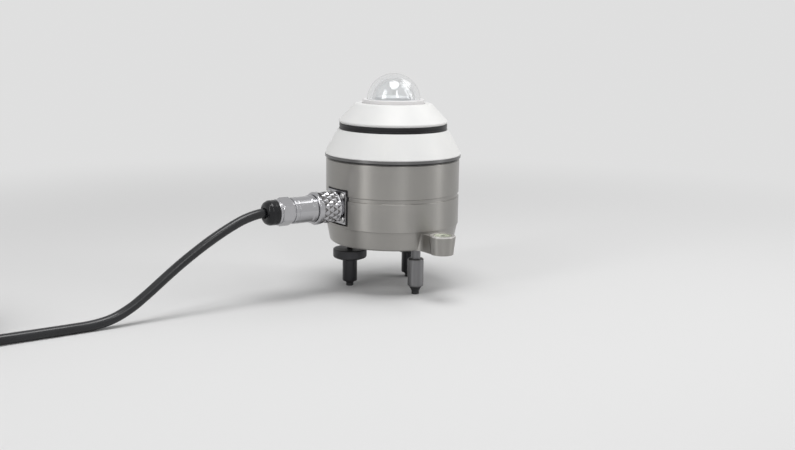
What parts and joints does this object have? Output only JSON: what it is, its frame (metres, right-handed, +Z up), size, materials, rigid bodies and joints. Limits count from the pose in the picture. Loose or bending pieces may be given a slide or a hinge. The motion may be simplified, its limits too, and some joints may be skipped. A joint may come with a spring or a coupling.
{
  "type": "pyranometer",
  "caption": "Solar radiation sensor with glass domes over a white diffuser, a lift-off sun shade, levelling feet, a bubble level and a plugged lead.",
  "frame": {"origin": "on the vertical axis of the round body, on the surface under the three feet", "axes": "+Z up along the instrument's axis; the lead and its plug leave along -X; the level's ear points along -Y"},
  "size_m": [0.4348, 0.1832, 0.1523],
  "materials": {
    "white_shade": "matt off-white paint, faintly pebbled",
    "black_band": "satin black, turned",
    "turned_body": "bead-blasted and clear anodised, satin warm grey",
    "turned_head": "turned, satin",
    "white_collar": "satin white, turned edge",
    "dome_glass": "clear ground and polished glass",
    "diffuser_white": "white diffusing material",
    "dark_seal": "matt black rubber",
    "pale_seal": "pale silicone bed",
    "steel_screw": "plain stainless",
    "black_sensor": "dead black absorber coating",
    "resin_bead": "epoxy bead",
    "red_lead": "insulated lead",
    "blue_lead": "insulated lead",
    "grey_lead": "insulated lead",
    "green_board": "coated circuit board",
    "black_resin": "moulded black",
    "plain_brass": "plated brass",
    "dry_pellet": "drying cartridge",
    "level_metal": "satin, bright white face",
    "level_liquid": "clear pale fluid",
    "foot_steel": "turned steel",
    "dark_foot": "blackened steel",
    "dark_wheel": "dark grey anodised wheel, satin",
    "foot_rubber": "matt black rubber",
    "bright_plug": "bright nickel plate",
    "boot_rubber": "smooth glossy black",
    "cable_jacket": "glossy black jacket",
    "tie_nylon": "black strap"
  },
  "bodies": {
    "instrument": {"housing": "turned_body", "base_plate": "turned_body", "head": "turned_head", "heat_sink": "turned_head", "dome_collar": "white_collar", "sensor_holder": "white_collar", "outer_dome": "dome_glass", "inner_dome": "dome_glass", "level_glass": "dome_glass", "diffuser": "diffuser_white", "base_gasket": "dark_seal", "rim_gasket": "dark_seal", "socket_gasket": "dark_seal", "dome_seals": "pale_seal", "base_screws": "steel_screw", "head_screws": "steel_screw", "holder_screws": "steel_screw", "board_screws": "steel_screw", "thermopile": "black_sensor", "thermistor": "resin_bead", "sensor_leads": "red_lead", "socket_leads": "blue_lead", "lead_wires": "grey_lead", "circuit_board": "green_board", "board_parts": "black_resin", "socket_insert": "black_resin", "plug_insert": "black_resin", "board_posts": "plain_brass", "socket_pins": "plain_brass", "desiccant": "dry_pellet", "level_cup": "level_metal", "level_fluid": "level_liquid", "fixed_foot": "foot_steel", "fixed_foot_tip": "foot_rubber", "socket_flange": "bright_plug", "socket_screws": "bright_plug", "plug_sleeve": "bright_plug", "back_nut": "bright_plug", "clamp_ring": "bright_plug", "lead_ferrules": "bright_plug", "cable_boot": "boot_rubber", "cable": "cable_jacket", "cable_coil": "cable_jacket", "lead_sleeve": "cable_jacket", "coil_ties": "tie_nylon"},
    "sun_shade": {"lower_shade": "white_shade", "shade_band": "black_band", "upper_shade": "white_shade"},
    "left_foot_pad": {"left_foot_tip": "foot_rubber"},
    "left_foot_turning": {"left_foot_screw": "dark_foot", "left_foot_wheel": "dark_wheel"},
    "right_foot_pad": {"right_foot_tip": "foot_rubber"},
    "right_foot_turning": {"right_foot_screw": "dark_foot", "right_foot_wheel": "dark_wheel"},
    "locking_ring": {"coupling_ring": "bright_plug"}
  },
  "joints": [
    {"name": "shade_lift", "type": "slide", "parent": "instrument", "child": "sun_shade", "axis": [0, 0, 1], "range_m": [0, 0.06]},
    {"name": "left_foot_travel", "type": "slide", "parent": "instrument", "child": "left_foot_pad", "axis": [0, 0, -1], "range_m": [-0.003, 0.005]},
    {"name": "left_foot_turn", "type": "hinge", "parent": "left_foot_pad", "child": "left_foot_turning", "pos_m": [-0.02598, 0.015, 0], "axis": [0, 0, -1], "range_deg": [-1350, 2250]},
    {"name": "right_foot_travel", "type": "slide", "parent": "instrument", "child": "right_foot_pad", "axis": [0, 0, -1], "range_m": [-0.003, 0.005]},
    {"name": "right_foot_turn", "type": "hinge", "parent": "right_foot_pad", "child": "right_foot_turning", "pos_m": [0.02598, 0.015, 0], "axis": [0, 0, -1], "range_deg": [-1350, 2250]},
    {"name": "locking_ring_turn", "type": "hinge", "parent": "instrument", "child": "locking_ring", "pos_m": [-0.055, 0, 0.062], "axis": [-1, 0, 0], "range_deg": [0, 120]}
  ],
  "couplings": [
    {"joint": "left_foot_turn", "follows": "left_foot_travel", "rad_per_m": 7854},
    {"joint": "right_foot_turn", "follows": "right_foot_travel", "rad_per_m": 7854}
  ]
}
